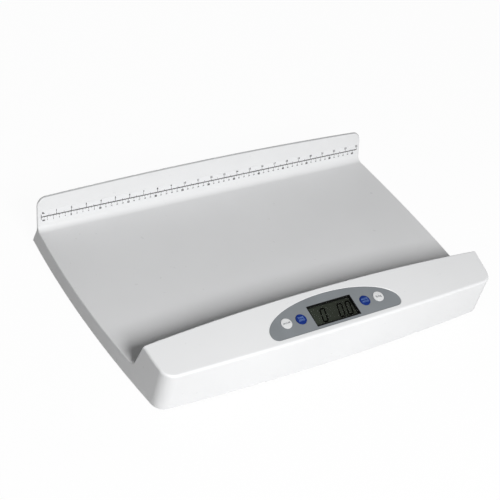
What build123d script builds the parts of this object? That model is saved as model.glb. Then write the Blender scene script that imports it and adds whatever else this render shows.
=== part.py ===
"""Digital baby weighing scale: a one-piece moulded tray with a ruled backrest and a front console.

Millimetres, +Z up, X along the tray, the console at -Y. The origin is at the middle of the
footprint, on the table. The tray moulding is one form, tray_form(inset): its skin, the hollow
inside it and the cover that closes it from below are the same form at different insets.
"""

import os
from math import cos, pi, radians, sin, tan

from build123d import *

os.makedirs("parts", exist_ok=True)

# ---- Fits ----
gap = 0.3               # round pieces that move
snug = 0.15             # pieces set into a recess
run = 0.05              # pins and screws in their holes
cover_gap = 0.4         # base cover inside the skirt

# ---- Tray form ----
width = 631.0           # across the bowed ends, at their widest
side_bow_r = 1790.0     # plan radius of each end
side_bow_y = 65.0       # where the ends are widest
lift = 4.0              # from the table to the skirt's lower edge
wall = 3.0              # moulded skin
floor_sag = 2.5         # how far the middle of the weighing surface dips
cove_r = 12.0           # between that surface and both slopes
lean = 15.7             # backrest and riser, degrees from upright
rest_y = 182.1          # foot of the backrest
rest_t = 4.2            # backrest plate
rest_rise = 57.5        # top of the backrest's arch above the surface
rest_drop = 6.3         # how much lower the arch is at its ends
tip_r = 15.0            # backrest's upper corners
waist_r = 15.0          # where the backrest meets the skirt, behind
skirt_rear_y = 197.6    # lower edge of the skirt, behind
riser_y = -112.0        # foot of the slope up to the console, at the middle
riser_bow = 13.0        # how far that foot runs forward at the tray's ends

# ---- Console ----
front_half = 298.0      # half length that the front's bow is measured on
front_low_y, front_low_bow = -192.0, 10.0     # lower edge of the front face
front_high_y, front_high_bow = -197.4, 1.5    # the same face, level with the form's top
front_corner_r = 20.0
deck_y, deck_rise = -195.1, 38.5              # where the sloping deck meets the front
deck_slope = 11.8
deck_edge_r = 4.0
edge_r = 1.9            # every other outer edge

# ---- Base cover ----
cover_up = 2.0          # how far the cover is set up inside the skirt
cover_t = 2.5
rim_t, rim_h = 2.0, 6.0
well_h, well_floor = 6.0, 2.0                 # screw wells
head_r, head_h, shank_r, shank_len = 3.0, 2.2, 1.45, 14.0
boss_t = 2.5
rib_t, rib_clear, low_rib_h = 2.0, 2.0, 7.5
rib_xs = (100.0, 200.0)
rib_ys = (-60.0, 110.0)
screw_x, screw_front, screw_rear = 150.0, 27.0, 33.0
side_screw_in, side_screw_y = 30.5, 20.0
notch_xs = (-130.0, 157.0)                    # prying notches under the front face
notch_w, notch_h = 12.0, 1.4

# ---- Load cells and feet ----
cell_in, cell_front, cell_rear = 70.5, 42.0, 47.6
cell_up = 7.0
cell_size, cell_t, cell_r = 34.0, 2.5, 3.0
cell_slot, tongue_w, slot_w = 22.0, 12.0, 2.0
gauge_l, gauge_w, gauge_t = 9.0, 5.0, 1.0
tub_gap, tub_t, tub_lip = 0.5, 2.5, 4.0
clip_w, clip_under, clip_t = 8.0, 0.8, 1.4
foot_gap, foot_t, foot_rim, foot_edge_r = 1.5, 4.0, 2.5, 0.8
stem_r, pin_r, rivet_r, rivet_h = 5.0, 1.9, 3.0, 0.8
pad_t, pad_seat, pad_edge_r = 4.0, 1.0, 0.6

# ---- Panel, display and keys, measured in the deck's own plane ----
panel_end, panel_rise = 33.8, 44.0            # half ellipse: how far it runs past the outer keys, and its rise
panel_base, panel_shoulder = 4.7, 16.0        # its straight lower edge, and where the ellipse starts
panel_corner_r = 11.0
panel_t, panel_sunk = 0.8, 0.2
pocket_bevel = 0.6
view_w, view_h, view_v = 80.0, 36.5, 27.0     # opening for the display, and its middle up the deck
frame_lip, frame_step, flange_t = 1.2, 0.8, 1.5
lens_t, lens_sunk = 1.0, 0.5
lcd_over, lcd_t, light_in = 2.0, 2.8, 4.0
key_r, key_proud, key_dome, key_edge_r = 8.7, 0.9, 0.35, 0.5
key_travel = 0.8
key_v, key_from_view, key_pitch = 28.0, 18.5, 25.7
key_flange, key_flange_t, key_stem_r = 1.7, 1.0, 2.2
board_t, board_drop = 1.6, 12.2               # board_drop is from the deck's face to the board's
board_side, board_edge, board_brow = 28.8, 1.0, 6.6
hole_in, hole_low, hole_high = 11.0, 10.0, 21.0
board_boss_r, board_shank_r, board_shank_len, board_head_r, board_head_h = 3.5, 1.05, 7.0, 2.2, 1.6
switch_w, switch_t, switch_h, plunger_r = 6.0, 3.5, 5.0, 1.7

# ---- Battery bay ----
aa_r, aa_len, aa_cap_r, aa_cap = 7.25, 50.5, 2.75, 1.2
aa_rows, aa_between, aa_edge_r = 3, 0.5, 0.6
contact_t, contact_w, spring_l, spring_r = 0.4, 10.0, 2.7, 4.4
divider, bay_wall, bay_y, bay_clear = 2.0, 2.0, 40.0, 3.6
ledge, door_t, door_gap = 5.0, 1.8, 0.4
door_pad_h, door_pad_side, door_pad_front = 4.5, 5.0, 9.0
hinge_r, hinge_pin_r, hinge_pin_l = 1.6, 0.9, 3.0
nub_w, nub_out, nub_h = 9.0, 0.25, 0.8
slit_w, slit_l = 1.0, 10.0
scoop_r, scoop_deep, scoop_w = 8.0, 3.0, 22.0

# ---- Ruler strip ----
strip_in, strip_w, strip_t = 5.0, 19.0, 0.25
strip_up = 21.6                               # middle of the strip, up the backrest

# ---- Worked out from the above ----
reach = 2 * width                             # long enough to pass through anything
lean_in, slope = tan(radians(lean)), tan(radians(deck_slope))
lean_c, slope_c = cos(radians(lean)), cos(radians(deck_slope))
cover_z = lift + cover_up
cover_top = cover_z + cover_t
aa_z = cover_z + door_t + gap + aa_r
bay_top = aa_z + aa_r + gap + bay_wall
aa_pitch = 2 * aa_r + aa_between
bay_w = 2 * (aa_len + spring_l + 2 * contact_t) + divider
bay_d = (aa_rows - 1) * aa_pitch + 2 * (aa_r + gap) + 1
floor_z = bay_top + bay_clear + floor_sag + wall        # weighing surface at its edges
rest_z = floor_z + rest_rise
deck_z = floor_z + deck_rise
form_top = rest_z + rest_drop
cell_z = cover_z + cell_up
cell_top = cell_z + cell_t
tub_top = cell_top + tub_t
tub_in = cell_size + 2 * tub_gap
screw_seat = cover_z + well_h - well_floor
foot_z = pad_t - pad_seat
foot_r = tub_in / 2 - foot_gap
pad_r = foot_r - foot_rim
door_w = bay_w + 2 * ledge
door_front = bay_y - bay_d / 2 - ledge
hinge_y = bay_y + bay_d / 2 + ledge - hinge_r - gap
hinge_z = cover_z + hinge_r
carrier_w = view_w + 2 * (lcd_over + snug + frame_lip)
carrier_h = view_h + 2 * (lcd_over + snug + frame_lip)
key_inner = view_w / 2 + key_from_view
key_outer = key_inner + key_pitch
panel_half = key_outer + panel_end
keys = {"power": -key_outer, "zero": -key_inner, "hold": key_inner, "units": key_outer}
board_w = 2 * (key_outer + board_side)
board_low = view_v - carrier_h / 2 - board_edge
board_high = view_v + carrier_h / 2 + board_brow
board_holes = [(s * (board_w / 2 - hole_in), key_v - hole_low) for s in (-1, 1)]
board_holes += [(s * (key_inner + key_outer) / 2, key_v + hole_high) for s in (-1, 1)]
cell_x, front_y, rear_y = width / 2 - cell_in, front_low_y + cell_front, skirt_rear_y - cell_rear
corners = {"front_left": (-cell_x, front_y), "front_right": (cell_x, front_y),
           "rear_left": (-cell_x, rear_y), "rear_right": (cell_x, rear_y)}
screws = [(s * screw_x, y) for s in (-1, 1) for y in (front_low_y + screw_front, skirt_rear_y - screw_rear)]
screws += [(s * (width / 2 - side_screw_in), side_screw_y) for s in (-1, 1)]
screws += [(s * rib_xs[0], rib_ys[0]) for s in (-1, 1)]
deck = Plane(origin=(0, deck_y, deck_z), x_dir=(1, 0, 0), z_dir=(0, -sin(radians(deck_slope)), slope_c))
backrest = Plane(origin=(0, rest_y, floor_z), x_dir=(1, 0, 0), z_dir=(0, -lean_c, sin(radians(lean))))


def side_x(y):
    """Half width of the tray at y."""
    return width / 2 - side_bow_r + (side_bow_r ** 2 - (y - side_bow_y) ** 2) ** 0.5


def upright(x, y):
    """A plane for turned profiles about the vertical through (x, y): radius across, height up."""
    return Plane(origin=(x, y, 0), x_dir=(1, 0, 0), z_dir=(0, -1, 0))


# ---- The tray's form ----
def front_cut(inset):
    """What lies in front of the bowed, twisting front face."""
    half = width / 2 + 20
    spread = (half / front_half) ** 2 - 1
    with BuildPart() as cut:
        for z, y, bow in ((lift, front_low_y, front_low_bow), (form_top, front_high_y, front_high_bow)):
            with BuildSketch(Plane.XY.offset(z)):
                with BuildLine():
                    edge = ThreePointArc((-half, y + inset + bow * spread), (0, y + inset - bow),
                                         (half, y + inset + bow * spread))
                    Polyline(edge @ 1, (half, -width), (-half, -width), edge @ 0)
                make_face()
        loft()
    return cut.part


def trough(inset):
    """The space above the weighing surface, between backrest and riser."""
    under = cove_r
    rest = rest_y + inset / lean_c - under * lean_in
    riser = riser_y - inset / lean_c + under * lean_in
    end_y = riser - riser_bow * (width / side_x(riser_y)) ** 2
    bed_z = floor_z - inset
    rear, ahead, rise = rest_y + 2 * under + 1, riser_y - 2 * under - 31, 0.4 * floor_sag
    with BuildPart() as cut:
        with BuildSketch(Plane.XY.offset(floor_z - under)):
            with BuildLine():
                foot = ThreePointArc((width, end_y), (0, riser), (-width, end_y))
                Polyline(foot @ 1, (-width, rest), (width, rest), foot @ 0)
            make_face()
        extrude(amount=form_top - floor_z + 2 * under, taper=-lean)
        with BuildSketch(Plane.YZ):
            with BuildLine():
                bed = ThreePointArc((rear, bed_z + rise), ((rest_y + riser_y) / 2, bed_z - floor_sag),
                                    (ahead, bed_z + rise))
                Polyline(bed @ 1, (ahead, 0), (rear, 0), bed @ 0)
            make_face()
        extrude(amount=reach, both=True, mode=Mode.SUBTRACT)
        long_edges = cut.edges().filter_by(lambda e: e.length > width)
        fillet(long_edges.filter_by(lambda e: abs(e.center().Z - bed_z) < cove_r / 2), cove_r)
    return cut.part


def back_cut(inset):
    """What lies behind the backrest and the flared skirt below it."""
    back = rest_y + (rest_t - inset) / lean_c
    over = form_top - floor_z + 10
    with BuildPart() as cut:
        with BuildSketch(Plane.YZ):
            Polygon((skirt_rear_y - inset, lift), (back, floor_z), (back + over * lean_in, floor_z + over),
                    (width, floor_z + over), (width, lift), align=None)
        extrude(amount=reach, both=True)
    return cut.part


def deck_cut(inset):
    """What lies above the console's sloping deck."""
    ahead, drop = deck_y - 4 * front_corner_r, inset / slope_c
    with BuildPart() as cut:
        with BuildSketch(Plane.YZ):
            Polygon((ahead, deck_z + (ahead - deck_y) * slope - drop), (0, deck_z - deck_y * slope - drop),
                    (0, width), (ahead, width), align=None)
        extrude(amount=reach, both=True)
    return cut.part


def arch_cut():
    """What lies above the backrest's arched top."""
    low = rest_z - rest_drop * (width / 2 / side_x(rest_y)) ** 2
    with BuildPart() as cut:
        with BuildSketch(Plane.XZ):
            with BuildLine():
                arch = ThreePointArc((-width / 2, low), (0, rest_z), (width / 2, low))
                Polyline(arch @ 1, (width / 2, width), (-width / 2, width), arch @ 0)
            make_face()
        extrude(amount=-reach)
    return cut.part


def is_sharp(part, edge):
    """Whether the two faces at an edge meet at an angle."""
    pair = [f for f in part.faces() if any(other.is_same(edge) for other in f.edges())]
    middle = edge @ 0.5
    return len(pair) == 2 and pair[0].normal_at(middle).get_angle(pair[1].normal_at(middle)) > 12


def tray_form(inset, finished=False):
    """The tray as one solid, every face moved in by inset; finished adds the arch and the rounded edges."""
    rear, ahead = skirt_rear_y + 10, front_low_y - front_low_bow - 20
    with BuildPart() as form:
        with BuildSketch(Plane.XY.offset(lift)):
            with Locations((width / 2 - side_bow_r, side_bow_y)):
                Circle(side_bow_r - inset)
            with Locations((side_bow_r - width / 2, side_bow_y)):
                Circle(side_bow_r - inset, mode=Mode.INTERSECT)
            with Locations((0, (rear + ahead) / 2)):
                Rectangle(2 * width, rear - ahead, mode=Mode.INTERSECT)
        extrude(amount=form_top - lift)
        add(front_cut(inset), mode=Mode.SUBTRACT)
        ahead_edges = form.edges().filter_by(lambda e: e.center().Y < riser_y)
        fillet(ahead_edges.filter_by(lambda e: e.length < 2 * form_top), front_corner_r - inset)
        add(trough(inset), mode=Mode.SUBTRACT)
        add(deck_cut(inset), mode=Mode.SUBTRACT)
        if finished:
            add(arch_cut(), mode=Mode.SUBTRACT)
            high = form.edges().filter_by(lambda e: e.center().Z > rest_z - 2 * rest_drop)
            fillet(high.filter_by(lambda e: abs(e.center().X) > width / 4 and e.center().Y > rest_y), tip_r)
        add(back_cut(inset), mode=Mode.SUBTRACT)
        if finished:
            behind = form.edges().filter_by(Axis.X).filter_by(lambda e: e.center().Y > rest_y)
            fillet(behind.filter_by(lambda e: abs(e.center().Z - floor_z) < 1), waist_r)
            rim = form.edges().filter_by(lambda e: e.center().Z > deck_z - deck_edge_r)
            fillet(rim.filter_by(lambda e: e.center().Y < riser_y - 2 * cove_r), deck_edge_r)
            high = form.edges().filter_by(lambda e: e.center().Z > floor_z - 3 * floor_sag)
            fillet(high.filter_by(lambda e: is_sharp(form.part, e)), edge_r)
    return form.part


def panel_outline(grow):
    """The control panel's shape: half an ellipse on a straight edge with rounded corners."""
    half, base = panel_half + grow, panel_base - grow
    with BuildSketch() as shape:
        with BuildLine():
            EllipticalCenterArc((0, panel_shoulder), half, panel_rise + grow, arc_size=180)
            Polyline((-half, panel_shoulder), (-half, base), (half, base), (half, panel_shoulder))
        make_face()
        fillet(shape.vertices().group_by(Axis.Y)[0], panel_corner_r + grow)
    return shape.sketch


# ---- Tray shell ----
with BuildPart() as hollow:
    add(tray_form(wall))
    with BuildSketch(Plane.XY.offset(tub_top + rib_clear)):
        with Locations((-rib_xs[1], 0), (rib_xs[1], 0)):
            Rectangle(rib_t, width)
        with Locations((-rib_xs[0], riser_y + width / 2), (rib_xs[0], riser_y + width / 2)):
            Rectangle(rib_t, width)
        with Locations(*[(0, y) for y in rib_ys]):
            Rectangle(width, rib_t)
    extrude(amount=form_top, mode=Mode.SUBTRACT)
    with BuildSketch(Plane.XY.offset(cover_z + well_h)):
        with Locations(*screws):
            Circle(shank_r + run + boss_t)
    extrude(amount=form_top, mode=Mode.SUBTRACT)
    with BuildSketch(deck.offset(-board_drop)):
        with Locations(*board_holes):
            Circle(board_boss_r)
    extrude(amount=board_drop, mode=Mode.SUBTRACT)

with BuildPart() as tray_shell:
    add(tray_form(0, finished=True))
    add(hollow.part, mode=Mode.SUBTRACT)
    with BuildSketch(deck):
        add(panel_outline(snug))
    extrude(amount=-panel_t - panel_sunk, mode=Mode.SUBTRACT)
    on_deck = tray_shell.edges().filter_by(lambda e: abs(deck.to_local_coords(e @ 0.5).Z) < 0.05)
    round_panel = on_deck.filter_by(lambda e: 0 < deck.to_local_coords(e @ 0.5).Y < panel_shoulder + panel_rise + 1)
    chamfer(round_panel.filter_by(lambda e: abs((e @ 0.5).X) < panel_half + 1), pocket_bevel)
    with BuildSketch(deck):
        with Locations(*[(x, key_v) for x in keys.values()]):
            Circle(key_r + gap)
        with Locations((0, view_v)):
            Rectangle(view_w, view_h)
    extrude(amount=-2 * wall, mode=Mode.SUBTRACT)
    with BuildSketch(Plane.XY.offset(cover_z + well_h)):
        with Locations(*screws):
            Circle(shank_r + run)
    extrude(amount=shank_len - well_floor + 1, mode=Mode.SUBTRACT)
    with BuildSketch(deck.offset(-board_drop)):
        with Locations(*board_holes):
            Circle(board_shank_r + run)
    extrude(amount=board_shank_len - board_t + 1, mode=Mode.SUBTRACT)
    with BuildSketch(Plane.XZ.offset(-front_low_y - wall)):
        with Locations(*[(x, lift) for x in notch_xs]):
            Rectangle(notch_w, 2 * notch_h)
    extrude(amount=wall + 2 * front_low_bow, mode=Mode.SUBTRACT)
tray_shell.part.label = "tray_shell"
export_step(tray_shell.part, "parts/tray_shell.step")

with BuildPart() as measuring_strip:
    with BuildSketch(backrest):
        with Locations((0, strip_up)):
            RectangleRounded(2 * (side_x(rest_y) - strip_in), strip_w, 1)
    extrude(amount=strip_t)
measuring_strip.part.label = "measuring_strip"
export_step(measuring_strip.part, "parts/measuring_strip.step")

# ---- Control panel and display ----
with BuildPart() as control_panel:
    with BuildSketch(deck.offset(-panel_t - panel_sunk)):
        add(panel_outline(0))
        with Locations(*[(x, key_v) for x in keys.values()]):
            Circle(key_r + gap, mode=Mode.SUBTRACT)
        with Locations((0, view_v)):
            Rectangle(view_w, view_h, mode=Mode.SUBTRACT)
    extrude(amount=panel_t)
control_panel.part.label = "control_panel"
export_step(control_panel.part, "parts/control_panel.step")

lens_w, lens_h = (size - 2 * (snug + frame_lip + snug) for size in (view_w, view_h))
with BuildPart() as display_frame:
    with BuildSketch(deck.offset(-board_drop)):
        with Locations((0, view_v)):
            Rectangle(carrier_w, carrier_h)
    extrude(amount=board_drop - wall)
    with BuildSketch(deck.offset(-wall)):
        with Locations((0, view_v)):
            Rectangle(view_w - 2 * snug, view_h - 2 * snug)
    extrude(amount=wall - panel_sunk)
    with BuildSketch(deck.offset(-board_drop)):
        with Locations((0, view_v)):
            Rectangle(view_w + 2 * (lcd_over + snug), view_h + 2 * (lcd_over + snug))
    extrude(amount=board_drop - wall - flange_t, mode=Mode.SUBTRACT)
    with BuildSketch(deck.offset(-lens_sunk - lens_t)):
        with Locations((0, view_v)):
            Rectangle(lens_w + 2 * snug, lens_h + 2 * snug)
    extrude(amount=wall, mode=Mode.SUBTRACT)
    with BuildSketch(deck):
        with Locations((0, view_v)):
            Rectangle(lens_w - 2 * frame_step, lens_h - 2 * frame_step)
    extrude(amount=-board_drop, mode=Mode.SUBTRACT)
display_frame.part.label = "display_frame"
export_step(display_frame.part, "parts/display_frame.step")

with BuildPart() as display_window:
    with BuildSketch(deck.offset(-lens_sunk - lens_t)):
        with Locations((0, view_v)):
            Rectangle(lens_w, lens_h)
    extrude(amount=lens_t)
display_window.part.label = "display_window"
export_step(display_window.part, "parts/display_window.step")

with BuildPart() as display_glass:
    with BuildSketch(deck.offset(-wall - flange_t - lcd_t)):
        with Locations((0, view_v)):
            Rectangle(view_w + 2 * lcd_over, view_h + 2 * lcd_over)
    extrude(amount=lcd_t)
    with BuildSketch(deck.offset(-board_drop)):
        with Locations((0, view_v)):
            Rectangle(view_w + 2 * (lcd_over - light_in), view_h + 2 * (lcd_over - light_in))
    extrude(amount=board_drop - wall - flange_t - lcd_t)
display_glass.part.label = "display_glass"
export_step(display_glass.part, "parts/display_glass.step")

# ---- Keys, their switches and the board ----
flange_top = -wall - gap
stem_end = key_travel + run - (board_drop - switch_h)
for name, x in keys.items():
    axis_at = deck.from_local_coords((x, key_v, 0))
    with BuildPart() as key:
        with BuildSketch(Plane(origin=axis_at, x_dir=(1, 0, 0), z_dir=-deck.y_dir)):
            with BuildLine():
                dome = TangentArc((0, key_proud), (key_r, key_proud - key_dome), tangent=(1, 0))
                Polyline(dome @ 1, (key_r, flange_top), (key_r + key_flange, flange_top),
                         (key_r + key_flange, flange_top - key_flange_t), (key_stem_r, flange_top - key_flange_t),
                         (key_stem_r, stem_end), (0, stem_end), dome @ 0)
            make_face()
        revolve(axis=Axis(axis_at, deck.z_dir))
        rims = key.edges().filter_by(lambda e: e.is_closed)
        fillet(rims.sort_by(Axis(axis_at, deck.z_dir))[-1], key_edge_r)
    key.part.label = f"key_{name}"
    export_step(key.part, f"parts/key_{name}.step")

    with BuildPart() as switch:
        with BuildSketch(deck.offset(-board_drop)):
            with Locations((x, key_v)):
                Rectangle(switch_w, switch_w)
        extrude(amount=switch_t)
        with BuildSketch(deck.offset(-board_drop)):
            with Locations((x, key_v)):
                Circle(plunger_r)
        extrude(amount=switch_h)
    switch.part.label = f"switch_{name}"
    export_step(switch.part, f"parts/switch_{name}.step")

with BuildPart() as control_board:
    with BuildSketch(deck.offset(-board_drop)):
        with Locations((0, (board_low + board_high) / 2)):
            RectangleRounded(board_w, board_high - board_low, 2)
        with Locations(*board_holes):
            Circle(board_shank_r + snug, mode=Mode.SUBTRACT)
    extrude(amount=-board_t)
control_board.part.label = "control_board"
export_step(control_board.part, "parts/control_board.step")

with BuildPart() as board_screws:
    with BuildSketch(deck.offset(-board_drop - board_t)):
        with Locations(*board_holes):
            Circle(board_head_r)
    extrude(amount=-board_head_h)
    with BuildSketch(deck.offset(-board_drop - board_t)):
        with Locations(*board_holes):
            Circle(board_shank_r)
    extrude(amount=board_shank_len)
board_screws.part.label = "board_screws"
export_step(board_screws.part, "parts/board_screws.step")

# ---- Base cover ----
with BuildPart() as above_plate:
    add(tray_form(wall + cover_gap + rim_t))
    split(bisect_by=Plane.XY.offset(cover_top), keep=Keep.TOP)

with BuildPart() as base_cover:
    add(tray_form(wall + cover_gap))
    split(bisect_by=Plane.XY.offset(cover_z), keep=Keep.TOP)
    split(bisect_by=Plane.XY.offset(cover_z + rim_h), keep=Keep.BOTTOM)
    add(above_plate.part, mode=Mode.SUBTRACT)
    with BuildSketch(Plane.XY.offset(cover_z)):
        with Locations((0, front_y), (0, rear_y)):
            Rectangle(2 * cell_x, rib_t)
        bay_side = (bay_w + bay_wall) / 2
        with Locations(*[(s * x, (front_y + rear_y) / 2) for s in (-1, 1) for x in (cell_x, bay_side)]):
            Rectangle(rib_t, rear_y - front_y)
    extrude(amount=low_rib_h)
    with BuildSketch(Plane.XY.offset(cover_z)):
        with Locations(*corners.values()):
            RectangleRounded(tub_in + 2 * tub_t, tub_in + 2 * tub_t, cell_r + tub_gap + tub_t)
    extrude(amount=tub_top - cover_z)
    with BuildSketch(Plane.XY.offset(cover_z)):
        with Locations(*screws):
            Circle(head_r + gap + bay_wall)
    extrude(amount=well_h)
    with BuildSketch(Plane.XY.offset(cover_z)):
        pad_y = (hinge_y + door_pad_side, door_front - door_pad_front)
        with Locations((0, sum(pad_y) / 2)):
            RectangleRounded(door_w + 2 * door_pad_side, pad_y[0] - pad_y[1], 3)
    extrude(amount=door_pad_h)
    with BuildSketch(Plane.XY.offset(cover_z)):
        with Locations((0, bay_y)):
            Rectangle(bay_w + 2 * bay_wall, bay_d + 2 * bay_wall)
    extrude(amount=bay_top - cover_z)
    with BuildSketch(Plane.XY.offset(cover_z)):
        with Locations(*corners.values()):
            RectangleRounded(tub_in, tub_in, cell_r + tub_gap)
    extrude(amount=cell_top - cover_z, mode=Mode.SUBTRACT)
    with BuildSketch(Plane.XY.offset(cell_top)):
        with Locations(*corners.values()):
            RectangleRounded(cell_size - 2 * tub_lip, cell_size - 2 * tub_lip, cell_r)
    extrude(amount=tub_t, mode=Mode.SUBTRACT)
    with BuildSketch(Plane.XY.offset(cell_z - clip_t)):
        clip_in = (tub_in / 2 + cell_size / 2 - clip_under) / 2
        with Locations(*[(x + s * clip_in, y) for s in (-1, 1) for x, y in corners.values()]):
            Rectangle(tub_gap + clip_under, clip_w)
    extrude(amount=clip_t)
    with BuildSketch(Plane.YZ):
        with Locations((bay_y, (cover_z + aa_z) / 2)):
            Rectangle(bay_d, aa_z - cover_z)
        with Locations(*[(bay_y + aa_pitch * (i - (aa_rows - 1) / 2), aa_z) for i in range(aa_rows)]):
            Circle(aa_r + gap)
    extrude(amount=bay_w / 2, both=True, mode=Mode.SUBTRACT)
    with BuildSketch(Plane.XY.offset(aa_z - aa_r)):
        with Locations((0, bay_y)):
            Rectangle(divider, bay_d)
    extrude(amount=2 * aa_r + gap)
    with BuildSketch(Plane.XY.offset(cover_z)):
        with Locations((0, (door_front + hinge_y + hinge_r + gap) / 2)):
            Rectangle(door_w, hinge_y + hinge_r + gap - door_front)
    extrude(amount=door_t + gap, mode=Mode.SUBTRACT)
    with BuildSketch(Plane.YZ):
        with Locations((hinge_y, hinge_z)):
            Rectangle(2 * (hinge_r + gap), 2 * (hinge_r + gap))
    extrude(amount=door_w / 2, both=True, mode=Mode.SUBTRACT)
    with BuildSketch(Plane.YZ):
        with Locations((hinge_y, hinge_z)):
            Circle(hinge_pin_r + run)
    extrude(amount=door_w / 2 + hinge_pin_l + gap, both=True, mode=Mode.SUBTRACT)
    with BuildSketch(Plane.YZ):
        with Locations((door_front, cover_z + scoop_deep - scoop_r)):
            Circle(scoop_r)
    extrude(amount=scoop_w / 2, both=True, mode=Mode.SUBTRACT)
    with BuildSketch(Plane.XY.offset(cover_z)):
        with Locations(*screws):
            Circle(head_r + gap)
    extrude(amount=well_h - well_floor, mode=Mode.SUBTRACT)
    with BuildSketch(Plane.XY.offset(cover_z)):
        with Locations(*screws):
            Circle(shank_r + snug)
    extrude(amount=well_h, mode=Mode.SUBTRACT)
base_cover.part.label = "base_cover"
export_step(base_cover.part, "parts/base_cover.step")

with BuildPart() as cover_screws:
    with BuildSketch(Plane.XY.offset(screw_seat - head_h)):
        with Locations(*screws):
            Circle(head_r)
    extrude(amount=head_h)
    with BuildSketch(Plane.XY.offset(screw_seat)):
        with Locations(*screws):
            Circle(shank_r)
    extrude(amount=shank_len)
cover_screws.part.label = "cover_screws"
export_step(cover_screws.part, "parts/cover_screws.step")

# ---- A load cell, a foot and a pad at each corner ----
for name, (x, y) in corners.items():
    with BuildPart() as cell:
        with BuildSketch(Plane.XY.offset(cell_z)):
            with Locations((x, y)):
                RectangleRounded(cell_size, cell_size, cell_r)
                Rectangle(tongue_w + 2 * slot_w, cell_slot, mode=Mode.SUBTRACT)
            with Locations((x, y + slot_w / 2)):
                Rectangle(tongue_w, cell_slot - slot_w)
            with Locations((x, y)):
                Circle(pin_r + run, mode=Mode.SUBTRACT)
        extrude(amount=cell_t)
        with BuildSketch(Plane.XY.offset(cell_top)):
            with Locations((x, y + (cell_slot - gauge_w) / 2)):
                Rectangle(gauge_l, gauge_w)
        extrude(amount=gauge_t)
    cell.part.label = f"cell_{name}"
    export_step(cell.part, f"parts/cell_{name}.step")

    with BuildPart() as foot:
        with BuildSketch(upright(x, y)):
            Polygon((0, pad_t), (pad_r + snug, pad_t), (pad_r + snug, foot_z), (foot_r, foot_z),
                    (foot_r, foot_z + foot_t), (stem_r, foot_z + foot_t), (stem_r, cell_z), (pin_r, cell_z),
                    (pin_r, cell_top), (rivet_r, cell_top), (rivet_r, cell_top + rivet_h),
                    (0, cell_top + rivet_h), align=None)
        revolve(axis=Axis((x, y, 0), (0, 0, 1)))
        fillet(foot.edges().filter_by(lambda e: abs(e.length - 2 * pi * foot_r) < 0.01), foot_edge_r)
    foot.part.label = f"foot_{name}"
    export_step(foot.part, f"parts/foot_{name}.step")

    with BuildPart() as pad:
        with BuildSketch():
            with Locations((x, y)):
                Circle(pad_r)
        extrude(amount=pad_t)
        fillet(pad.edges().group_by(Axis.Z)[0], pad_edge_r)
    pad.part.label = f"pad_{name}"
    export_step(pad.part, f"parts/pad_{name}.step")

# ---- Battery door, cells and contacts ----
with BuildPart() as battery_door:
    with BuildSketch(Plane.YZ):
        with Locations(((door_front + door_gap + hinge_y) / 2, cover_z + door_t / 2)):
            Rectangle(hinge_y - door_front - door_gap, door_t)
        with Locations((hinge_y, hinge_z)):
            Circle(hinge_r)
    extrude(amount=door_w / 2 - door_gap, both=True)
    with BuildSketch(Plane.YZ):
        with Locations((hinge_y, hinge_z)):
            Circle(hinge_pin_r)
    extrude(amount=door_w / 2 + hinge_pin_l, both=True)
    with BuildSketch(Plane.XY.offset(cover_z)):
        with Locations(*[(s * (nub_w + slit_w) / 2, door_front + slit_l / 2) for s in (-1, 1)]):
            Rectangle(slit_w, slit_l)
    extrude(amount=door_t, mode=Mode.SUBTRACT)
    with BuildSketch(Plane.XY.offset(cover_z + door_t - nub_h)):
        with Locations((0, door_front + door_gap)):
            Rectangle(nub_w, 2 * nub_out)
    extrude(amount=nub_h)
battery_door.part.label = "battery_door"
export_step(battery_door.part, "parts/battery_door.step")

slots = []      # each cell's row, the wall at its spring, the wall at its cap, and the way it points
for row in range(aa_rows):
    for side in (-1, 1):
        sprung, capped = (side * divider / 2, side * bay_w / 2)[::1 if (row + (side > 0)) % 2 else -1]
        slots.append((bay_y + aa_pitch * (row - (aa_rows - 1) / 2), sprung, capped, 1 if capped > sprung else -1))

with BuildPart() as battery_contacts:
    for row_y, sprung, capped, way in slots:
        for end, inward in ((sprung, way), (capped, -way)):
            with BuildSketch(Plane.YZ.offset(end)):
                with Locations((row_y, aa_z)):
                    Rectangle(contact_w, contact_w)
            extrude(amount=inward * contact_t)
        seat = sprung + way * contact_t
        coil = [(seat + way * spring_l * i / 3, spring_r * (1 - 0.15 * j)) for i, j in
                ((0, 0), (1, 0), (1, 1), (2, 1), (2, 2), (3, 2))]
        with BuildSketch(Plane(origin=(0, row_y, aa_z))):
            Polygon(*coil, (coil[-1][0], 0), (seat, 0), align=None)
        revolve(axis=Axis((0, row_y, aa_z), (1, 0, 0)))
battery_contacts.part.label = "battery_contacts"
export_step(battery_contacts.part, "parts/battery_contacts.step")

for number, (row_y, sprung, capped, way) in enumerate(slots, 1):
    start = sprung + way * (contact_t + spring_l)
    with BuildPart() as aa:
        with BuildSketch(Plane(origin=(start, row_y, aa_z))):
            Polygon((0, 0), (0, aa_r), (way * (aa_len - aa_cap), aa_r), (way * (aa_len - aa_cap), aa_cap_r),
                    (way * aa_len, aa_cap_r), (way * aa_len, 0), align=None)
        revolve(axis=Axis((start, row_y, aa_z), (1, 0, 0)))
        fillet(aa.edges().filter_by(lambda e: abs(e.length - 2 * pi * aa_r) < 0.01), aa_edge_r)
    aa.part.label = f"battery_{number}"
    export_step(aa.part, f"parts/battery_{number}.step")
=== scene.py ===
"""Digital baby weighing scale: its finishes, its printing, its display and the studio it stands in."""
from math import cos, pi, radians, sin

import bpy
from mathutils import Matrix, Vector


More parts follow.
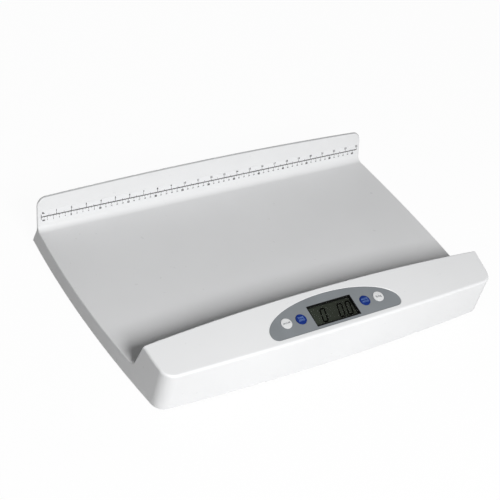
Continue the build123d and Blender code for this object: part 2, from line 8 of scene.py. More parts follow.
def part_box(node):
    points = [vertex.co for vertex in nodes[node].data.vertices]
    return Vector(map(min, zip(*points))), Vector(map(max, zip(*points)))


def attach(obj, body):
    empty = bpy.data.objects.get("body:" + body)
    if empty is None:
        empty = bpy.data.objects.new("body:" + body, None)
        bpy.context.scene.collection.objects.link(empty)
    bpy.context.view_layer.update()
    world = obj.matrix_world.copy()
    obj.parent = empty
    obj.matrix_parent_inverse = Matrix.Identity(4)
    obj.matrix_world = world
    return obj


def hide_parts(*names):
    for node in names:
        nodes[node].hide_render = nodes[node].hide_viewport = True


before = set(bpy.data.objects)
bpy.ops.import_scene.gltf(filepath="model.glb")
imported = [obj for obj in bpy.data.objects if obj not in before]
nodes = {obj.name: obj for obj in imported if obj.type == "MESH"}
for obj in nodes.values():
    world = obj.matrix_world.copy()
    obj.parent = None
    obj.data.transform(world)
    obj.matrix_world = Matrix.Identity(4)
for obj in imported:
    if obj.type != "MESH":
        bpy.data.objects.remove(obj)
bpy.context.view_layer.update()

MM = 0.001
SMOOTH_BELOW = radians(35)  # the sharpest turn that is still shaded smooth


# ---- Work planes: the console's sloping deck and the leaning face of the backrest ----
def plane(origin, up):
    """A work plane that runs across the scale: where it starts, and the way up it."""
    x, y = Vector((1, 0, 0)), Vector(up).normalized()
    return Matrix.Translation(Vector(origin)) @ Matrix((x, y, x.cross(y))).transposed().to_4x4()


DECK_SLOPE, BACKREST_LEAN = radians(11.8), radians(15.7)
DECK_FRONT = (0, -195.1 * MM, 72.5 * MM)
BACKREST_FOOT = (0, 182.1 * MM, 34 * MM)
deck = plane(DECK_FRONT, (0, cos(DECK_SLOPE), sin(DECK_SLOPE)))
backrest = plane(BACKREST_FOOT, (0, sin(BACKREST_LEAN), cos(BACKREST_LEAN)))


# ---- Making pieces ----
def alone(piece):
    """Select one piece only."""
    bpy.ops.object.select_all(action="DESELECT")
    piece.select_set(True)
    bpy.context.view_layer.objects.active = piece


def settle(piece):
    """Put a piece's place, turn and scale into its mesh."""
    alone(piece)
    bpy.ops.object.transform_apply(location=True, rotation=True, scale=True)


def delete(piece):
    """Delete a piece that was only a pattern or a cutter."""
    alone(piece)
    bpy.ops.object.delete()


def apply_modifiers(piece):
    """Apply every modifier of a piece."""
    alone(piece)
    for modifier in list(piece.modifiers):
        bpy.ops.object.modifier_apply(modifier=modifier.name)


def repeat(piece, count, step):
    """Repeat a piece along a step, as one mesh."""
    row = piece.modifiers.new("row", "ARRAY")
    row.use_relative_offset, row.use_constant_offset = False, True
    row.constant_offset_displace, row.count = step, count
    apply_modifiers(piece)


def copy_at(piece, x, y):
    """A copy of a piece, with its own mesh, moved along the floor."""
    alone(piece)
    bpy.ops.object.duplicate(linked=False)
    bpy.ops.transform.translate(value=(x, y, 0))
    settle(bpy.context.object)
    return bpy.context.object


def joined(pieces, name):
    """Join pieces into one, under its name."""
    alone(pieces[0])
    for piece in pieces[1:]:
        piece.select_set(True)
    if len(pieces) > 1:
        bpy.ops.object.join()
    whole = bpy.context.object
    whole.name = whole.data.name = name
    return whole


def lay(piece, where):
    """Lay a piece on its work plane, with its place in its mesh."""
    settle(piece)
    piece.matrix_world = where
    settle(piece)


def pick(piece, kind, test):
    """Enter edit mode and select only the vertices, edges or faces that pass a test, which reads each one."""
    bpy.ops.object.mode_set(mode="EDIT")
    bpy.ops.mesh.select_all(action="DESELECT")
    bpy.ops.mesh.select_mode(type=kind)
    bpy.ops.object.mode_set(mode="OBJECT")
    mesh = piece.data
    if kind == "VERT":
        for vertex in mesh.vertices:
            vertex.select = test(vertex.co)
    elif kind == "EDGE":
        for edge in mesh.edges:
            edge.select = test(*[mesh.vertices[i].co for i in edge.vertices])
    else:
        for side in mesh.polygons:
            side.select = test(side.center, side.normal)
    bpy.ops.object.mode_set(mode="EDIT")


def round_edges_below(piece, height, radius):
    """Round the edges that lie wholly below a height."""
    pick(piece, "EDGE", lambda a, b: max(a.z, b.z) < height)
    bpy.ops.mesh.bevel(offset=radius, segments=3)
    bpy.ops.object.mode_set(mode="OBJECT")


def coat(piece, material):
    """Give a piece one material."""
    piece.data.materials.clear()
    piece.data.materials.append(material)


def finish_piece(piece, material, body, smooth=False):
    """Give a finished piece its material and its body."""
    coat(piece, material)
    alone(piece)
    if smooth:
        bpy.ops.object.shade_smooth_by_angle(angle=SMOOTH_BELOW)
    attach(piece, body)


# ---- Making print ----
def bar(x, y, z, length, height, depth):
    """A thin printed bar about (x, y), its back at z."""
    bpy.ops.mesh.primitive_cube_add(size=1, location=(x, y, z + depth / 2), scale=(length, height, depth))
    settle(bpy.context.object)
    return bpy.context.object


def lettering(words, size, x, y, z, depth, bold):
    """Plain printed characters about (x, y), their back at z."""
    bpy.ops.object.text_add(location=(x, y, z + depth / 2))
    text = bpy.context.object.data
    text.body, text.size = words, size
    text.align_x, text.align_y = "CENTER", "CENTER"
    text.resolution_u = 3
    text.extrude, text.offset = depth / 2, bold
    bpy.ops.object.convert(target="MESH")
    return bpy.context.object


# ---- Nodes that the materials share ----
MIX_FACTOR, MIX_FIRST, MIX_SECOND, MIX_RESULT = 0, 6, 7, 2  # a Mix node's sockets for colours
MOST_NOISE = (0.3, 0.7)  # nearly all of a noise lies between these


def feed(tree, value, socket):
    """Feed a socket from another one, or set it to a plain value."""
    if isinstance(value, bpy.types.NodeSocket):
        tree.links.new(value, socket)
    else:
        socket.default_value = value


def darker(colour, share):
    """A colour at a share of its strength."""
    return [part * share for part in colour]


def mix_colour(tree, factor, first, second):
    """Mix two colours; each is a socket, or its red, green and blue."""
    mixer = tree.nodes.new("ShaderNodeMix")
    mixer.data_type = "RGBA"
    tree.links.new(factor, mixer.inputs[MIX_FACTOR])
    for colour, index in ((first, MIX_FIRST), (second, MIX_SECOND)):
        feed(tree, colour if isinstance(colour, bpy.types.NodeSocket) else (*colour, 1), mixer.inputs[index])
    return mixer.outputs[MIX_RESULT]


def mix_surface(tree, output, factor, first, second):
    """Show a mix of two surfaces at a tree's output."""
    mixer = tree.nodes.new("ShaderNodeMixShader")
    for value, socket in zip((factor, first, second), mixer.inputs):
        tree.links.new(value, socket)
    tree.links.new(mixer.outputs[0], tree.nodes[output].inputs["Surface"])


def combine(tree, operation, first, second):
    """Combine two values by an operation; each is a socket or a number."""
    maths = tree.nodes.new("ShaderNodeMath")
    maths.operation = operation
    feed(tree, first, maths.inputs[0])
    feed(tree, second, maths.inputs[1])
    return maths.outputs[0]


def spread(tree, value, given, wanted=(0.0, 1.0)):
    """Map a value from the range it is given in to the one that is wanted."""
    ranger = tree.nodes.new("ShaderNodeMapRange")
    tree.links.new(value, ranger.inputs["Value"])
    for label, number in zip(("From Min", "From Max", "To Min", "To Max"), (*given, *wanted)):
        ranger.inputs[label].default_value = number
    return ranger.outputs["Result"]


def stretched(tree, where, scale, shift=(0, 0, 0)):
    """Coordinates scaled along each axis, then shifted."""
    mapping = tree.nodes.new("ShaderNodeMapping")
    mapping.inputs["Scale"].default_value = scale
    mapping.inputs["Location"].default_value = shift
    tree.links.new(where, mapping.inputs["Vector"])
    return mapping.outputs["Vector"]


def axes(tree, where):
    """The three axes of a vector, by name."""
    apart = tree.nodes.new("ShaderNodeSeparateXYZ")
    tree.links.new(where, apart.inputs[0])
    return apart.outputs


def noise(tree, where, **settings):
    """Noise on a piece's coordinates, with its settings by name."""
    texture = tree.nodes.new("ShaderNodeTexNoise")
    tree.links.new(where, texture.inputs["Vector"])
    for label, value in settings.items():
        feed(tree, value, texture.inputs[label])
    return texture.outputs["Fac"]


def relief(tree, shader, height, depth, strength=1.0):
    """Raise a surface by a height that changes over it."""
    bump = tree.nodes.new("ShaderNodeBump")
    bump.inputs["Distance"].default_value = depth
    bump.inputs["Strength"].default_value = strength
    tree.links.new(height, bump.inputs["Height"])
    tree.links.new(bump.outputs["Normal"], shader.inputs["Normal"])


# ---- Node groups ----
def new_group(name, values, results):
    """A shader node group that takes a vector and the named values, and gives the named results."""
    group = bpy.data.node_groups.new(name, "ShaderNodeTree")
    group.interface.new_socket("Vector", in_out="INPUT", socket_type="NodeSocketVector")
    for label, value in values.items():
        group.interface.new_socket(label, in_out="INPUT", socket_type="NodeSocketFloat").default_value = value
    for label in results:
        group.interface.new_socket(label, in_out="OUTPUT", socket_type="NodeSocketFloat")
    return group, group.nodes.new("NodeGroupInput").outputs, group.nodes.new("NodeGroupOutput").inputs


def moulded_grain():
    """Spark-eroded mould grain: a fine height, slow patches of shade, and how the gloss varies."""
    group, given, result = new_group("moulded_grain", {"Grain": 1600.0, "Patches": 9.0},
                                     ("Height", "Patch", "Gloss"))
    fine = noise(group, given["Vector"], Scale=given["Grain"], Detail=3.0, Roughness=0.6)
    slow = noise(group, given["Vector"], Scale=given["Patches"], Detail=2.0, Roughness=0.5)
    smear = noise(group, given["Vector"], Scale=70.0, Detail=5.0, Roughness=0.65)
    feed(group, fine, result["Height"])
    feed(group, spread(group, slow, MOST_NOISE), result["Patch"])
    feed(group, spread(group, smear, (0.25, 0.75)), result["Gloss"])
    return group


def handling():
    """Faint marks of handling: a mask of fine scuffs."""
    group, given, result = new_group("handling", {"Scale": 60.0}, ("Scuff",))
    scuff = noise(group, given["Vector"], Scale=given["Scale"], Detail=8.0, Roughness=0.75, Distortion=1.2)
    feed(group, spread(group, scuff, (0.62, 0.8)), result["Scuff"])
    return group


def placed(tree, group, where, **values):
    """The results of a node group placed in a material, with its own values."""
    made = tree.nodes.new("ShaderNodeGroup")
    made.node_tree = group
    tree.links.new(where, made.inputs["Vector"])
    for label, value in values.items():
        made.inputs[label].default_value = value
    return made.outputs


grain_group, handling_group = moulded_grain(), handling()


# ---- Plastics and metals ----
SCUFFS_SHOWN, SCUFF_SHADE = 0.012, 0.8
PAINTED_SHADE_FACING, PAINTED_SHADE_SHOWN = (0.42, 0.62), 0.9  # how far a face looks up where the painted shade starts and where it is full


def new_material(name):
    """A material, its tree, its shader and its object coordinates."""
    material = bpy.data.materials.new(name)
    material.use_nodes = True
    tree = material.node_tree
    shader = tree.nodes["Principled BSDF"]
    where = tree.nodes.new("ShaderNodeTexCoord").outputs["Object"]
    return material, tree, shader, where


def plastic(name, colour, shade=0.96, rough=(0.3, 0.42), grain=1600.0, depth=0.04 * MM, patches=9.0, gloss=0.5):
    """Moulded plastic: slow patches of shade, mould grain, faint scuffs and an uneven gloss."""
    material, tree, shader, where = new_material(name)
    moulding = placed(tree, grain_group, where, Grain=grain, Patches=patches)
    marks = placed(tree, handling_group, where)
    plain_colour = mix_colour(tree, moulding["Patch"], darker(colour, shade), colour)
    scuffed = combine(tree, "MULTIPLY", marks["Scuff"], SCUFFS_SHOWN)
    feed(tree, mix_colour(tree, scuffed, plain_colour, darker(colour, SCUFF_SHADE)), shader.inputs["Base Color"])
    feed(tree, spread(tree, moulding["Gloss"], (0.0, 1.0), rough), shader.inputs["Roughness"])
    shader.inputs["Specular IOR Level"].default_value = gloss
    relief(tree, shader, moulding["Height"], depth, strength=0.5)
    return material


def soil_top_edge(material, behind_y, above_z, painted_shade):
    """Paint shade on the narrow face along the top of the backrest: a darker line that stands in for the shade
    on its turned-over rim.
    """
    tree = material.node_tree
    shader = tree.nodes["Principled BSDF"]
    plain_colour = shader.inputs["Base Color"].links[0].from_socket
    coordinates = tree.nodes.new("ShaderNodeTexCoord").outputs
    place = axes(tree, coordinates["Object"])
    # Painted shade: full on faces that look up, behind the given y and above the given z, which is the top edge
    # of the backrest.
    shaded_mask = spread(tree, axes(tree, coordinates["Normal"])["Z"], PAINTED_SHADE_FACING, (0.0, PAINTED_SHADE_SHOWN))
    for axis, start in (("Y", behind_y), ("Z", above_z)):
        shaded_mask = combine(tree, "MULTIPLY", shaded_mask, spread(tree, place[axis], (start, start + 1 * MM)))
    feed(tree, mix_colour(tree, shaded_mask, plain_colour, painted_shade), shader.inputs["Base Color"])


def metal(name, colour, rough=(0.22, 0.4), stretch=(1, 14, 1)):
    """Drawn or plated metal, with fine lines along one axis."""
    material, tree, shader, where = new_material(name)
    lines = noise(tree, stretched(tree, where, stretch), Scale=220.0, Detail=6.0, Roughness=0.6)
    feed(tree, mix_colour(tree, lines, darker(colour, 0.8), colour), shader.inputs["Base Color"])
    shader.inputs["Metallic"].default_value = 1.0
    feed(tree, spread(tree, lines, MOST_NOISE, rough), shader.inputs["Roughness"])
    relief(tree, shader, lines, 0.02 * MM, strength=0.6)
    return material


tray_white = plastic("tray_white", (0.795, 0.80, 0.806), shade=0.975, rough=(0.26, 0.36), grain=1900,
                     depth=0.02 * MM)
# The tray's white carries a painted shade line along the backrest's top edge.
soil_top_edge(tray_white, 166 * MM, 68 * MM, (0.455, 0.46, 0.465))
cover_white = plastic("cover_white", (0.74, 0.74, 0.73), rough=(0.45, 0.6), grain=1100, depth=0.06 * MM)
ruler_film = plastic("ruler_film", (0.815, 0.82, 0.83), shade=0.98, rough=(0.2, 0.3), grain=500,
                     depth=0.01 * MM)
panel_film = plastic("panel_film", (0.205, 0.222, 0.236), shade=0.9, rough=(0.34, 0.46), grain=3200,
                     depth=0.02 * MM, patches=26)
frame_black = plastic("frame_black", (0.0025, 0.0025, 0.0025), rough=(0.5, 0.65), grain=2200, gloss=0.1)
key_white = plastic("key_white", (0.73, 0.74, 0.745), rough=(0.22, 0.32), grain=2600,
                    depth=0.01 * MM, patches=60)
key_blue = plastic("key_blue", (0.006, 0.028, 0.19), shade=0.85, rough=(0.24, 0.34), grain=2600,
                   depth=0.01 * MM, patches=60, gloss=0.1)
switch_black = plastic("switch_black", (0.02, 0.02, 0.022), rough=(0.35, 0.5))
foot_grey = plastic("foot_grey", (0.5, 0.5, 0.5), rough=(0.45, 0.6), grain=1200, depth=0.05 * MM)

INK_FINISH = {"grain": 900, "depth": 0.005 * MM}
ruler_ink = plastic("ruler_ink", (0.015, 0.015, 0.014), rough=(0.4, 0.5), patches=40, **INK_FINISH)
dark_ink = plastic("dark_ink", (0.11, 0.12, 0.13), rough=(0.4, 0.5), patches=40, **INK_FINISH)
pale_ink = plastic("pale_ink", (0.13, 0.22, 0.46), rough=(0.4, 0.5), patches=40, **INK_FINISH)
segment_ink = plastic("segment_ink", (0.002, 0.002, 0.0015), rough=(0.3, 0.4), patches=90, gloss=0,
                      **INK_FINISH)

zinc_steel = metal("zinc_steel", (0.6, 0.61, 0.62))
cell_steel = metal("cell_steel", (0.5, 0.51, 0.52), stretch=(1, 20, 1), rough=(0.28, 0.45))
nickel = metal("nickel", (0.74, 0.72, 0.66), rough=(0.15, 0.3), stretch=(1, 1, 12))


# ---- Finishes of single pieces ----
def rubber_finish():
    """Soft black rubber, dull and finely pitted."""
    material, tree, shader, where = new_material("pad_rubber")
    fine = noise(tree, where, Scale=900.0, Detail=4.0, Roughness=0.7)
    feed(tree, mix_colour(tree, fine, (0.02, 0.02, 0.02), (0.05, 0.05, 0.052)), shader.inputs["Base Color"])
    feed(tree, spread(tree, fine, MOST_NOISE, (0.7, 0.9)), shader.inputs["Roughness"])
    relief(tree, shader, fine, 0.1 * MM)
    return material


def window_finish():
    """Clear hard-coated acrylic that lets the lamps reach the display behind it."""
    material, tree, shader, where = new_material("window_clear")
    smear = noise(tree, where, Scale=90.0, Detail=6.0, Roughness=0.7)
    feed(tree, mix_colour(tree, smear, (0.93, 0.95, 0.94), (0.97, 0.98, 0.975)), shader.inputs["Base Color"])
    feed(tree, spread(tree, smear, (0.4, 0.8), (0.0, 0.015)), shader.inputs["Roughness"])
    for label, value in (("Transmission Weight", 1.0), ("IOR", 1.05), ("Specular IOR Level", 0.2)):
        shader.inputs[label].default_value = value
    path = tree.nodes.new("ShaderNodeLightPath").outputs
    straight = combine(tree, "MAXIMUM", path["Is Shadow Ray"], path["Is Diffuse Ray"])
    clear = tree.nodes.new("ShaderNodeBsdfTransparent").outputs[0]
    mix_surface(tree, "Material Output", straight, shader.outputs[0], clear)
    return material


def display_finish():
    """Olive reflective display behind a brushed reflector, with painted reflection and painted sheen in its
    colour: lighter at the left, darker to the right, and lighter along the reflector's streaks.
    """
    material, tree, shader, where = new_material("display_olive")
    reflector = noise(tree, stretched(tree, where, (1, 30, 30)), Scale=60.0, Detail=5.0, Roughness=0.6)
    # Painted reflection: the olive ground runs from lighter at the left to darker at the right.
    painted_reflection_across = spread(tree, axes(tree, where)["X"], (-40 * MM, 40 * MM))
    painted_reflection_ground = mix_colour(tree, painted_reflection_across, (0.033, 0.039, 0.03), (0.022, 0.024, 0.019))
    # Painted sheen: the brushed reflector's streaks are painted lighter.
    painted_sheen = spread(tree, reflector, MOST_NOISE, (0.0, 0.16))
    feed(tree, mix_colour(tree, painted_sheen, painted_reflection_ground, (0.07, 0.074, 0.06)), shader.inputs["Base Color"])
    feed(tree, spread(tree, reflector, MOST_NOISE, (0.3, 0.42)), shader.inputs["Roughness"])
    shader.inputs["Specular IOR Level"].default_value = 0.02
    return material


def board_finish():
    """Green solder mask over copper tracks."""
    material, tree, shader, where = new_material("board_green")
    cells = tree.nodes.new("ShaderNodeTexVoronoi")
    cells.feature = "DISTANCE_TO_EDGE"
    cells.inputs["Scale"].default_value = 180.0
    tree.links.new(where, cells.inputs["Vector"])
    track = spread(tree, cells.outputs["Distance"], (0.03, 0.06), (1.0, 0.0))
    feed(tree, mix_colour(tree, track, (0.01, 0.075, 0.03), (0.03, 0.16, 0.06)), shader.inputs["Base Color"])
    feed(tree, spread(tree, track, (0.0, 1.0), (0.28, 0.4)), shader.inputs["Roughness"])
    relief(tree, shader, track, 0.05 * MM)
    return material


SLEEVE_END, CAP_START, SLEEVE_EDGE = 36.5 * MM, 48.8 * MM, 0.2 * MM


def battery_finish(name, flat_end, way):
    """A sleeved cell: dark sleeve, a copper band and a bare cap, measured along it from its flat end."""
    material, tree, shader, where = new_material(name)
    from_flat_end = axes(tree, stretched(tree, where, (way, 1, 1), (-flat_end * way, 0, 0)))["X"]
    scratch = noise(tree, where, Scale=300.0, Detail=5.0)
    band = spread(tree, from_flat_end, (SLEEVE_END, SLEEVE_END + SLEEVE_EDGE))
    cap = spread(tree, from_flat_end, (CAP_START, CAP_START + SLEEVE_EDGE))
    sleeve = mix_colour(tree, band, (0.012, 0.013, 0.016), (0.46, 0.2, 0.07))
    feed(tree, mix_colour(tree, cap, sleeve, (0.6, 0.6, 0.6)), shader.inputs["Base Color"])
    feed(tree, band, shader.inputs["Metallic"])
    feed(tree, spread(tree, scratch, MOST_NOISE, (0.2, 0.36)), shader.inputs["Roughness"])
    return material


pad_rubber, window_clear, display_olive, board_green = (
    rubber_finish(), window_finish(), display_finish(), board_finish())

# ---- Dressing the solids ----
dress = {
    "tray_shell": tray_white, "measuring_strip": ruler_film, "control_panel": panel_film,
    "display_frame": frame_black, "display_window": window_clear, "display_glass": display_olive,
    "key_power": key_white, "key_zero": key_blue, "key_hold": key_blue, "key_units": key_white,
    "base_cover": cover_white, "battery_door": cover_white, "control_board": board_green,
    "battery_contacts": nickel, "cover_screws": zinc_steel, "board_screws": zinc_steel,
}
families = {"switch_": switch_black, "cell_": cell_steel, "foot_": foot_grey, "pad_": pad_rubber}
for name in nodes:
    for prefix, material in families.items():
        if name.startswith(prefix):
            dress[name] = material
    number = name.removeprefix("battery_")
    if number.isdigit():
        # Two cells to a row: both point the same way, and the next row points back.
        low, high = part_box(name)
        row = (int(number) - 1) // 2
        way = 1 if row % 2 == 0 else -1
        dress[name] = battery_finish(name, (low if way > 0 else high).x, way)
for name, material in dress.items():
    coat(nodes[name], material)

# ---- The printed ruler: inches above its line, centimetres below ----
INCH, CENTIMETRE = 25.4 * MM, 10 * MM
RULER_START, RULER_LENGTH = -304.8 * MM, 24 * INCH
LINE_UP, LINE_WIDTH, END_MARK_HEIGHT = 21.6 * MM, 1.3 * MM, 9 * MM
STRIP_FACE, INK = 0.25 * MM, 0.04 * MM
INCHES_UP, CENTIMETRES_UP = 6.2 * MM, -5.9 * MM

# How many ticks, how far apart, where the first one stands, its width, and its length up from the line
# or, where it is negative, down.
TICK_ROWS = (
    (25, INCH, 0, 0.7 * MM, 4.0 * MM),
    (24, INCH, INCH / 2, 0.5 * MM, 3.0 * MM),
    (96, INCH / 4, INCH / 8, 0.3 * MM, 1.5 * MM),
    (61, CENTIMETRE, 0, 0.6 * MM, -3.4 * MM),
    (61, CENTIMETRE, CENTIMETRE / 2, 0.4 * MM, -2.4 * MM),
    (609, CENTIMETRE / 10, 0, 0.2 * MM, -1.5 * MM),
)


def ruler_words(words, size, x, y, bold):
    """Print on the ruler, about x from its start and y from its line."""
    return lettering(words, size, RULER_START + x, y, STRIP_FACE, INK, bold)


print_marks = [
    bar(0, 0, STRIP_FACE, RULER_LENGTH, LINE_WIDTH, INK),
    bar(RULER_START - 0.3 * MM, 0, STRIP_FACE, 0.7 * MM, END_MARK_HEIGHT, INK),
]
for count, pitch, start, width, length in TICK_ROWS:
    tick = bar(RULER_START + start, length / 2, STRIP_FACE, width, abs(length), INK)
    repeat(tick, count, (pitch, 0, 0))
    print_marks.append(tick)
for number in range(1, 25):
    inward = 1.2 * MM if number == 24 else 0
    print_marks.append(ruler_words(str(number), 4.6 * MM, number * INCH - inward, INCHES_UP, 0.2 * MM))
for number in range(1, 61):
    size, bold = (4.4 * MM, 0.3 * MM) if number % 5 == 0 else (3.0 * MM, 0.12 * MM)
    print_marks.append(ruler_words(str(number), size, number * CENTIMETRE, CENTIMETRES_UP, bold))
print_marks.append(ruler_words("in.", 4.2 * MM, 3.6 * MM, INCHES_UP, 0.3 * MM))
print_marks.append(ruler_words("cm", 3.6 * MM, 3.6 * MM, -6.0 * MM, 0.3 * MM))
ruler_print = joined(print_marks, "ruler_print")
lay(ruler_print, backrest @ Matrix.Translation((0, LINE_UP, 0)))
finish_piece(ruler_print, ruler_ink, "scale")

# ---- The display's figures ----
GLASS_FACE = -4.5 * MM
FIGURE_INK = 0.05 * MM
DISPLAY_UP = 26.2 * MM
FIGURE_WIDE, FIGURE_HIGH, STROKE = 7.9 * MM, 21.8 * MM, 2.9 * MM
SEGMENT_GAP = 0.5 * MM
NOUGHTS_X, POINT_X, POINT_RADIUS = (-16.8 * MM, 14.6 * MM, 29.6 * MM), 22.1 * MM, 1.3 * MM
SLANT = 0.24


def segment(x, y, length, upright):
    """One pointed segment of a figure."""
    bpy.ops.mesh.primitive_cylinder_add(vertices=6, radius=STROKE / 2, depth=FIGURE_INK,
                                        location=(x, y, GLASS_FACE))
    piece = bpy.context.object
    stretch = (length - STROKE) / 2
    pick(piece, "VERT", lambda at: at.y > 0)
    bpy.ops.transform.translate(value=(0, stretch, 0))
    bpy.ops.mesh.select_all(action="INVERT")
    bpy.ops.transform.translate(value=(0, -stretch, 0))
    bpy.ops.object.mode_set(mode="OBJECT")
    if not upright:
        piece.rotation_euler = (0, 0, pi / 2)
    settle(piece)
    return piece


def nought(x):
    """The six segments of a nought about x."""
    side, half = FIGURE_WIDE / 2, FIGURE_HIGH / 2
    flat, upright = FIGURE_WIDE - SEGMENT_GAP, half - SEGMENT_GAP
    return [
        segment(x, half, flat, False),
        segment(x + side, half / 2, upright, True),
        segment(x + side, -half / 2, upright, True),
        segment(x, -half, flat, False),
        segment(x - side, -half / 2, upright, True),
        segment(x - side, half / 2, upright, True),
    ]


figures = [piece for x in NOUGHTS_X for piece in nought(x)]
bpy.ops.mesh.primitive_cylinder_add(vertices=20, radius=POINT_RADIUS, depth=FIGURE_INK,
                                    location=(POINT_X, -FIGURE_HIGH / 2, GLASS_FACE))
figures.append(bpy.context.object)
display_figures = joined(figures, "display_figures")
settle(display_figures)
leaning = Matrix.Identity(4)
leaning[0][1] = SLANT
display_figures.data.transform(leaning)
lay(display_figures, deck @ Matrix.Translation((0, DISPLAY_UP, 0)))
finish_piece(display_figures, segment_ink, "scale")

# ---- Plain legends, printed deep into the tops of the keys ----
KEY_TOP, KEYS_UP = 0.9 * MM, 28 * MM
LEGEND_SUNK, LEGEND_INK, LEGEND_BOLD = 0.16 * MM, 0.18 * MM, 0.06 * MM
legends = {
    "power": ("ON/OFF", 3.5 * MM, -84.2 * MM, dark_ink),
    "zero": ("TARE\nZERO", 4.2 * MM, -58.5 * MM, pale_ink),
    "hold": ("AUTO\nHOLD", 4.2 * MM, 58.5 * MM, pale_ink),
    "units": ("lb/kg", 5.2 * MM, 84.2 * MM, dark_ink),
}
for key, (words, size, x, print_ink) in legends.items():
    legend = joined([lettering(words, size, 0, 0, -LEGEND_SUNK, LEGEND_INK, LEGEND_BOLD)], f"legend_{key}")
    lay(legend, deck @ Matrix.Translation((x, KEYS_UP, KEY_TOP)))
    finish_piece(legend, print_ink, f"{key}_key")


# ---- Cross-head screws under the cover ----
HEAD_LOW, HEAD_HIGH, HEAD_RADIUS, HEAD_ROUND = 7.8 * MM, 10 * MM, 3 * MM, 0.7 * MM
SHANK_RADIUS, SHANK_LENGTH, TIP_LENGTH, TIP_SHARE = 1.45 * MM, 12 * MM, 2 * MM, 0.2
TIP_HEIGHT = HEAD_HIGH + SHANK_LENGTH + TIP_LENGTH
RECESS_LENGTH, RECESS_WIDTH, RECESS_DEPTH, RECESS_TAPER = 3.6 * MM, 0.8 * MM, 1.2 * MM, (0.4, 0.7, 1)


def cross_head_screw():
    """One self-tapping screw standing on its head at the middle of the floor plan."""
    bpy.ops.mesh.primitive_cylinder_add(vertices=40, radius=HEAD_RADIUS, depth=HEAD_HIGH - HEAD_LOW,
                                        location=(0, 0, (HEAD_LOW + HEAD_HIGH) / 2))
    screw = bpy.context.object
    settle(screw)
    pick(screw, "FACE", lambda at, way: way.z > 0.9)
    bpy.ops.mesh.inset(thickness=HEAD_RADIUS - SHANK_RADIUS, depth=0)
    for length in (SHANK_LENGTH, TIP_LENGTH):
        bpy.ops.mesh.extrude_region_move(TRANSFORM_OT_translate={"value": (0, 0, length)})
    bpy.ops.transform.resize(value=(TIP_SHARE, TIP_SHARE, 1), center_override=(0, 0, TIP_HEIGHT))
    round_edges_below(screw, HEAD_LOW + 0.1 * MM, HEAD_ROUND)
    for turn in (0, pi / 2):
        bpy.ops.mesh.primitive_cube_add(size=1, location=(0, 0, HEAD_LOW), rotation=(0, 0, turn),
                                        scale=(RECESS_LENGTH, RECESS_WIDTH, 2 * RECESS_DEPTH))
        blade = bpy.context.object
        pick(blade, "FACE", lambda at, way: way.z > 0.9)
        bpy.ops.transform.resize(value=RECESS_TAPER, center_override=(0, 0, HEAD_LOW + RECESS_DEPTH))
        bpy.ops.object.mode_set(mode="OBJECT")
        cut = screw.modifiers.new("recess", "BOOLEAN")
        cut.operation, cut.solver, cut.object = "DIFFERENCE", "EXACT", blade
        apply_modifiers(screw)
        delete(blade)
    return screw


SCREW_PLACES = ((-150, -165), (-150, 164.6), (150, -165), (150, 164.6),
                (-285, 20), (-100, -60), (285, 20), (100, -60))
screw = cross_head_screw()
screws = joined([copy_at(screw, x * MM, y * MM) for x, y in SCREW_PLACES], "cross_head_screws")
delete(screw)
finish_piece(screws, zinc_steel, "scale", smooth=True)
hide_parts("cover_screws")

# ---- Ringed rubber pads ----
PAD_RADIUS, PAD_HEIGHT, PAD_ROUND = 13.5 * MM, 4 * MM, 0.6 * MM
GROOVE_DEPTH = 0.7 * MM
GROOVES = ((10.3, 9.1), (6.8, 5.6))  # the outer and inner radius that hold each groove's two rings of corners
RING_STEPS = (2.4, 0.25, 1.1, 0.25, 2.2, 0.25, 1.1, 0.25)  # how far each ring on the tread lies inside the last


def ringed_pad():
    """One pad with two grooves moulded round its tread, at the middle of the floor plan."""
    bpy.ops.mesh.primitive_cylinder_add(vertices=72, radius=PAD_RADIUS, depth=PAD_HEIGHT,
                                        location=(0, 0, PAD_HEIGHT / 2))
    pad = bpy.context.object
    settle(pad)
    round_edges_below(pad, 0.1 * MM, PAD_ROUND)
    pick(pad, "FACE", lambda at, way: way.z < -0.99)
    for inward in RING_STEPS:
        bpy.ops.mesh.inset(thickness=inward * MM, depth=0)

    def in_groove(at):
        return at.z < 0.1 * MM and any(inner * MM < at.to_2d().length < outer * MM for outer, inner in GROOVES)

    pick(pad, "VERT", in_groove)
    bpy.ops.transform.translate(value=(0, 0, GROOVE_DEPTH))
    bpy.ops.object.mode_set(mode="OBJECT")
    return pad


pad = ringed_pad()
for name in [name for name in nodes if name.startswith("pad_")]:
    low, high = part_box(name)
    tread = copy_at(pad, (low.x + high.x) / 2, (low.y + high.y) / 2)
    tread.name = tread.data.name = "tread_" + name.removeprefix("pad_")
    finish_piece(tread, pad_rubber, "scale", smooth=True)
    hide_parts(name)
delete(pad)

# ---- Grip and arrow moulded on the battery door ----
RAISED_HEIGHT, RAISED_MIDDLE, RAISED_ROUND = 0.4 * MM, 5.9 * MM, 0.22 * MM
RIB_COUNT, RIB_PITCH, RIB_LENGTH, RIB_WIDTH = 6, 2.2 * MM, 22 * MM, 1.1 * MM
FIRST_RIB_Y, ARROW_Y, ARROW_RADIUS = 24 * MM, 44 * MM, 4.5 * MM


def soften(piece):
    """Round the outer edges of what stands proud of the door."""
    settle(piece)
    round_edges_below(piece, RAISED_MIDDLE - 0.1 * MM, RAISED_ROUND)


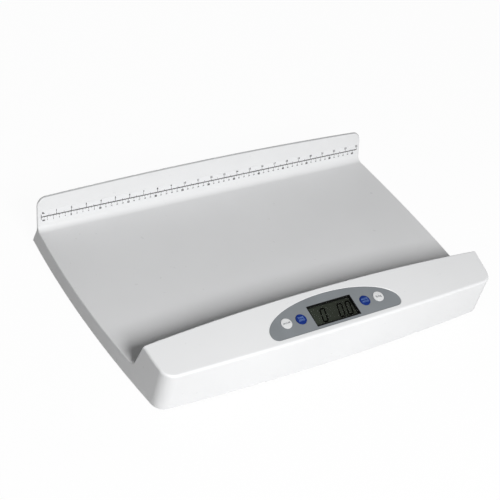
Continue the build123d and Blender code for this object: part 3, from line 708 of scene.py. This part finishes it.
bpy.ops.mesh.primitive_cube_add(size=1, location=(0, FIRST_RIB_Y, RAISED_MIDDLE),
                                scale=(RIB_LENGTH, RIB_WIDTH, RAISED_HEIGHT))
grip = bpy.context.object
soften(grip)
repeat(grip, RIB_COUNT, (0, RIB_PITCH, 0))
bpy.ops.mesh.primitive_cylinder_add(vertices=3, radius=ARROW_RADIUS, depth=RAISED_HEIGHT, rotation=(0, 0, pi),
                                    location=(0, ARROW_Y, RAISED_MIDDLE))
arrow = bpy.context.object
soften(arrow)
grip = joined([grip, arrow], "door_grip")
finish_piece(grip, cover_white, "door", smooth=True)

# ---- Studio ----
FLOOR_SIZE, FLOOR_DROP = 8, 0.1 * MM
FLOOR_LIT, FLOOR_SEEN = (0.55, 0.55, 0.55), (0.9, 0.9, 0.9)
FLOOR_WHITE_SHARE, WORLD_WHITE_SHARE = 0.96, 1.0
AIR_STRENGTH = 0.07
WHITE = (1, 1, 1, 1)


def studio_white(tree, output, lit, white, share):
    """Show a lit surface near white to the camera, to gloss and through glass, and keep its shadows."""
    path = tree.nodes.new("ShaderNodeLightPath").outputs
    seen = combine(tree, "MAXIMUM", path["Is Camera Ray"], path["Is Glossy Ray"])
    seen = combine(tree, "MAXIMUM", seen, path["Is Transmission Ray"])
    straight = combine(tree, "LESS_THAN", path["Diffuse Depth"], 0.5)
    shown = combine(tree, "MULTIPLY", combine(tree, "MULTIPLY", seen, straight), share)
    mix_surface(tree, output, shown, lit, white)


bpy.ops.mesh.primitive_plane_add(size=FLOOR_SIZE, location=(0, 0, -FLOOR_DROP))
floor = bpy.context.object
floor.name = "studio_floor"
floor_white, tree, shader, _ = new_material("floor_white")
seen_directly = tree.nodes.new("ShaderNodeLightPath").outputs["Is Camera Ray"]
feed(tree, mix_colour(tree, seen_directly, FLOOR_LIT, FLOOR_SEEN), shader.inputs["Base Color"])
shader.inputs["Roughness"].default_value = 0.9
glow = tree.nodes.new("ShaderNodeEmission")
studio_white(tree, "Material Output", shader.outputs[0], glow.outputs[0], FLOOR_WHITE_SHARE)
floor.data.materials.append(floor_white)

world = bpy.data.worlds.new("studio")
bpy.context.scene.world = world
world.use_nodes = True
air = world.node_tree.nodes["Background"]
air.inputs["Color"].default_value = WHITE
air.inputs["Strength"].default_value = AIR_STRENGTH
backdrop = world.node_tree.nodes.new("ShaderNodeBackground")
backdrop.inputs["Color"].default_value = WHITE
studio_white(world.node_tree, "World Output", air.outputs[0], backdrop.outputs[0], WORLD_WHITE_SHARE)


def lamp(name, place, aim, size, power):
    """A soft rectangular lamp."""
    bpy.ops.object.light_add(type="AREA", location=place)
    light = bpy.context.object
    light.name = name
    light.data.shape = "RECTANGLE"
    light.data.size, light.data.size_y = size
    light.data.energy = power
    light.visible_camera = False
    light.rotation_euler = (Vector(aim) - Vector(place)).to_track_quat("-Z", "Y").to_euler()


lamp("front_softbox", place=(-0.35, -1.8, 1.46), aim=(0, 0, 0.05), size=(0.9, 0.8), power=55)
lamp("back_strip", place=(0.4, 2.3, 0.36), aim=(0, 0.2, 0.06), size=(1.6, 0.4), power=14)

# ---- Camera ----
CAMERA_PLACE = Vector((-0.9735, -1.0901, 1.2277))
CAMERA_RIGHT = Vector((0.83625, -0.51518, 0.18783))
CAMERA_UP = Vector((0.21285, 0.62064, 0.75465))
CAMERA_AHEAD = Vector((0.50536, 0.5911, -0.62866))
SENSOR_WIDTH, LENS = 36, 86.1
bpy.ops.object.camera_add(location=CAMERA_PLACE)
camera = bpy.context.object
camera.name = "camera"
turned = Matrix((CAMERA_RIGHT, CAMERA_UP, -CAMERA_AHEAD)).transposed().to_4x4()
camera.matrix_world = Matrix.Translation(CAMERA_PLACE) @ turned
camera.data.sensor_fit = "HORIZONTAL"
camera.data.sensor_width = SENSOR_WIDTH
camera.data.lens = LENS
bpy.context.scene.camera = camera
bpy.context.scene.view_settings.view_transform = "Standard"
